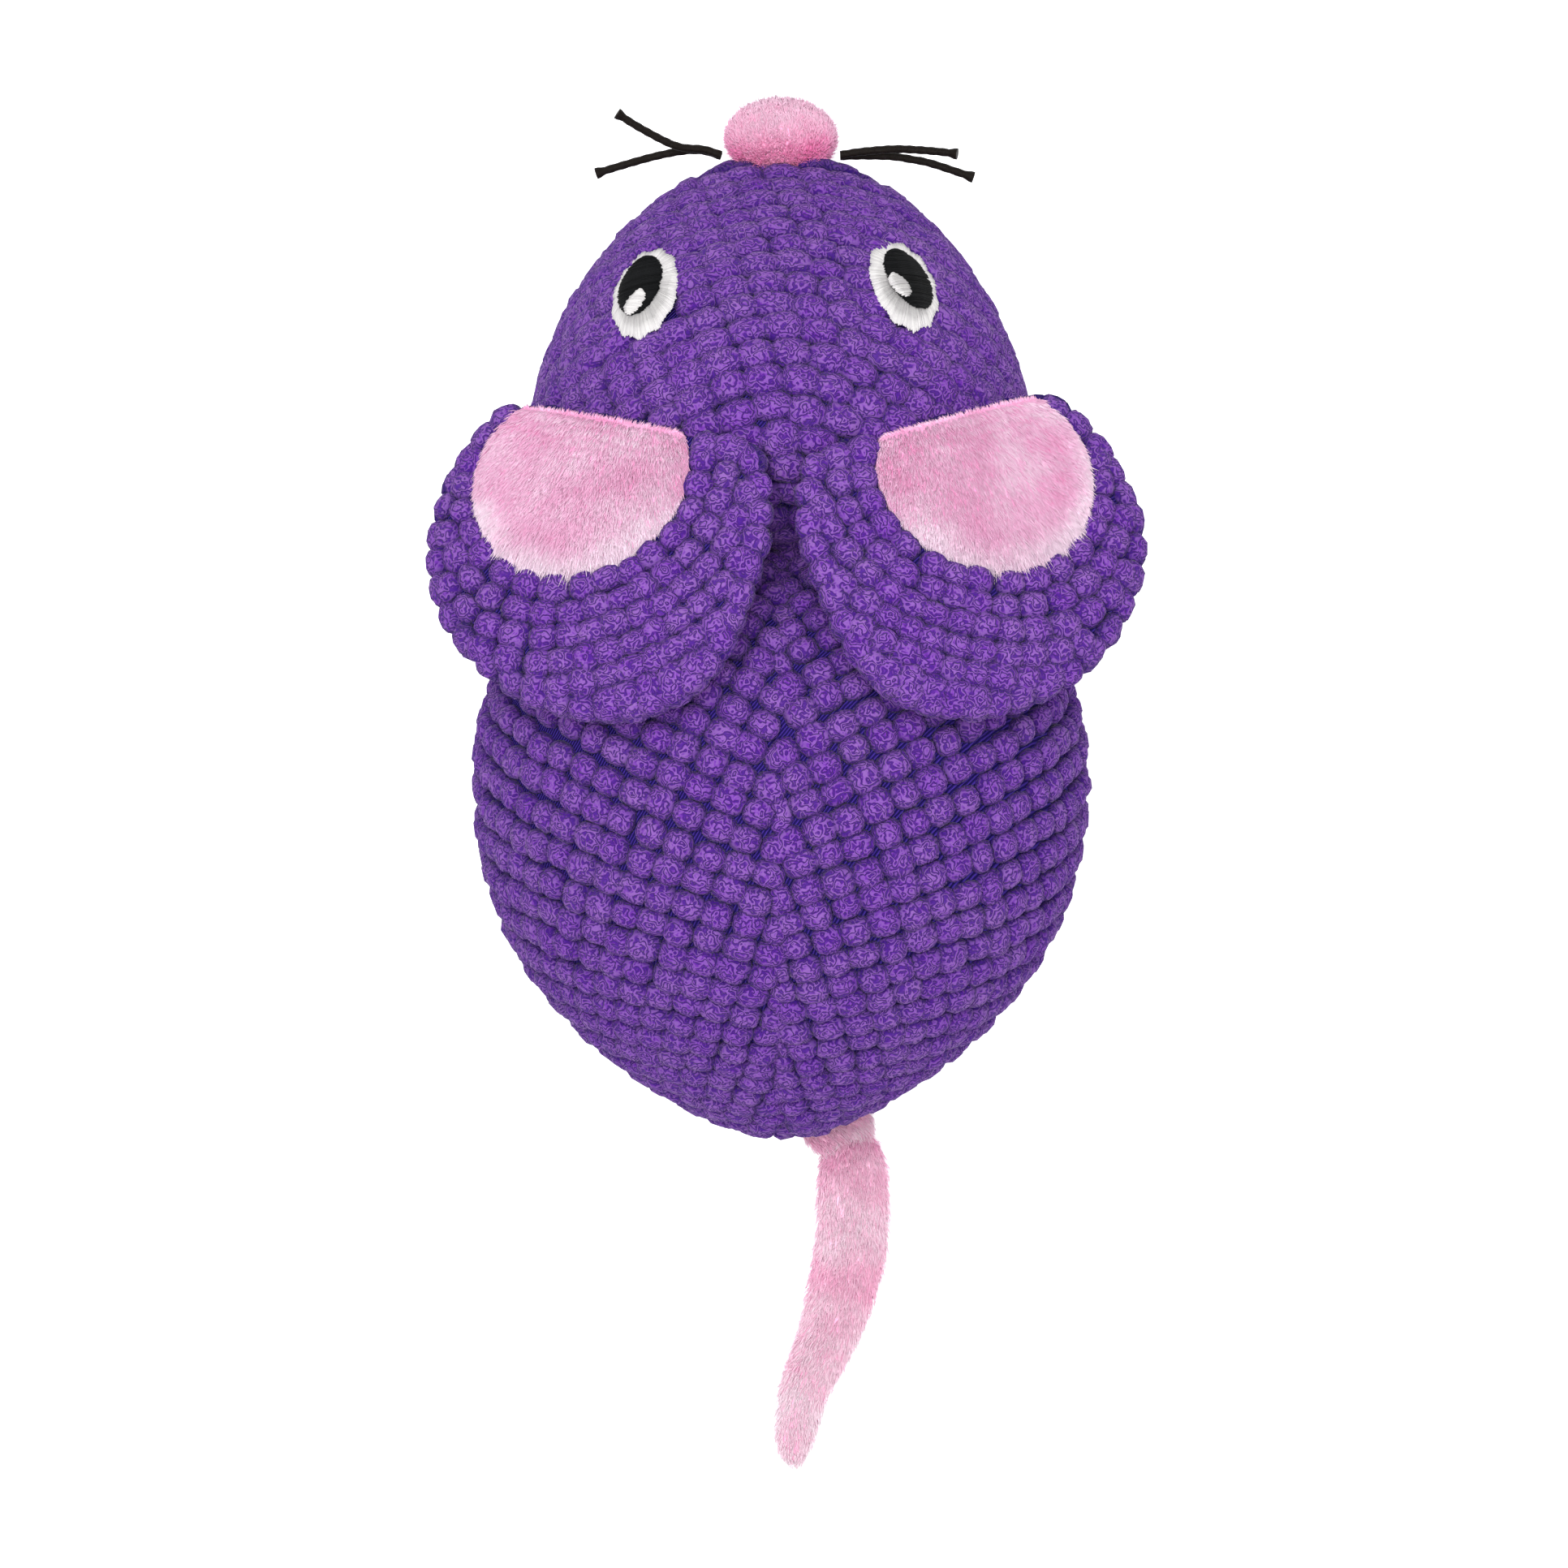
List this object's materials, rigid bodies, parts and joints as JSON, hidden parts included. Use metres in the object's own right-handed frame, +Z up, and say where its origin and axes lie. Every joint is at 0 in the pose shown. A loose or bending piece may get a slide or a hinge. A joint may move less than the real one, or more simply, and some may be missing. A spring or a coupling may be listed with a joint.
{
  "type": "catnip mouse toy",
  "caption": "Stuffed toy mouse in bobble plush with floppy lined ears, a plush ball nose, embroidered eyes, cord whiskers and a flat plush tail.",
  "frame": {"origin": "on the flat belly that the toy rests on, under the body's widest part and on its middle line", "axes": "+Y towards the nose, +X to the mouse's right, +Z up out of the back"},
  "size_m": [0.1282, 0.2566, 0.0968],
  "materials": {
    "bobble_plush": "purple bobble plush",
    "pink_plush": "short pink pile",
    "nose_plush": "short pink pile",
    "fibrefill": "loose polyester fibre",
    "muslin": "plain unbleached weave",
    "white_thread": "satin stitch",
    "black_thread": "satin stitch",
    "waxed_cord": "waxed braided cord"
  },
  "bodies": {
    "torso": {"body_left_panel": "bobble_plush", "body_right_panel": "bobble_plush", "belly_panel": "bobble_plush", "head_left_panel": "bobble_plush", "head_right_panel": "bobble_plush", "nose_cover": "nose_plush", "body_stuffing": "fibrefill", "head_stuffing": "fibrefill", "nose_stuffing": "fibrefill", "catnip_sachet": "muslin", "left_eye_white": "white_thread", "right_eye_white": "white_thread", "left_eye_glint": "white_thread", "right_eye_glint": "white_thread", "left_eye_pupil": "black_thread", "right_eye_pupil": "black_thread"},
    "left_ear": {"left_ear_front": "bobble_plush", "left_ear_back": "bobble_plush", "left_ear_lining": "pink_plush", "left_ear_wadding": "fibrefill"},
    "right_ear": {"right_ear_front": "bobble_plush", "right_ear_back": "bobble_plush", "right_ear_lining": "pink_plush", "right_ear_wadding": "fibrefill"},
    "tail_tab": {"tail_tab": "pink_plush"},
    "tail": {"tail": "pink_plush"},
    "left_front_whisker": {"left_front_whisker": "waxed_cord"},
    "left_rear_whisker": {"left_rear_whisker": "waxed_cord"},
    "right_front_whisker": {"right_front_whisker": "waxed_cord"},
    "right_rear_whisker": {"right_rear_whisker": "waxed_cord"}
  },
  "joints": [
    {"name": "left_ear_flap", "type": "hinge", "parent": "torso", "child": "left_ear", "pos_m": [-0.02789, 0.06108, 0.07645], "axis": [-0.8968, 0.1743, -0.4067], "range_deg": [0, 100]},
    {"name": "right_ear_flap", "type": "hinge", "parent": "torso", "child": "right_ear", "pos_m": [0.02777, 0.06119, 0.07645], "axis": [-0.8782, -0.2518, 0.4067], "range_deg": [0, 100]},
    {"name": "tail_swing", "type": "hinge", "parent": "torso", "child": "tail_tab", "pos_m": [0, -0.0616, 0.003], "axis": [0, 0, 1], "range_deg": [-70, 10]},
    {"name": "tail_lift", "type": "hinge", "parent": "tail_tab", "child": "tail", "pos_m": [0.013, -0.07135, 0.0049], "axis": [-1, 0, 0], "range_deg": [0, 80]},
    {"name": "left_front_whisker_sweep", "type": "hinge", "parent": "torso", "child": "left_front_whisker", "pos_m": [-0.01108, 0.11316, 0.02715], "axis": [0, 0, -1], "range_deg": [-15, 35], "stiffness_Nm_per_rad": 0.001},
    {"name": "left_rear_whisker_sweep", "type": "hinge", "parent": "torso", "child": "left_rear_whisker", "pos_m": [-0.01108, 0.11316, 0.02485], "axis": [0, 0, -1], "range_deg": [-15, 35], "stiffness_Nm_per_rad": 0.001},
    {"name": "right_front_whisker_sweep", "type": "hinge", "parent": "torso", "child": "right_front_whisker", "pos_m": [0.01108, 0.11316, 0.02715], "axis": [0, 0, 1], "range_deg": [-15, 35], "stiffness_Nm_per_rad": 0.001},
    {"name": "right_rear_whisker_sweep", "type": "hinge", "parent": "torso", "child": "right_rear_whisker", "pos_m": [0.01108, 0.11316, 0.02485], "axis": [0, 0, 1], "range_deg": [-15, 35], "stiffness_Nm_per_rad": 0.001}
  ]
}
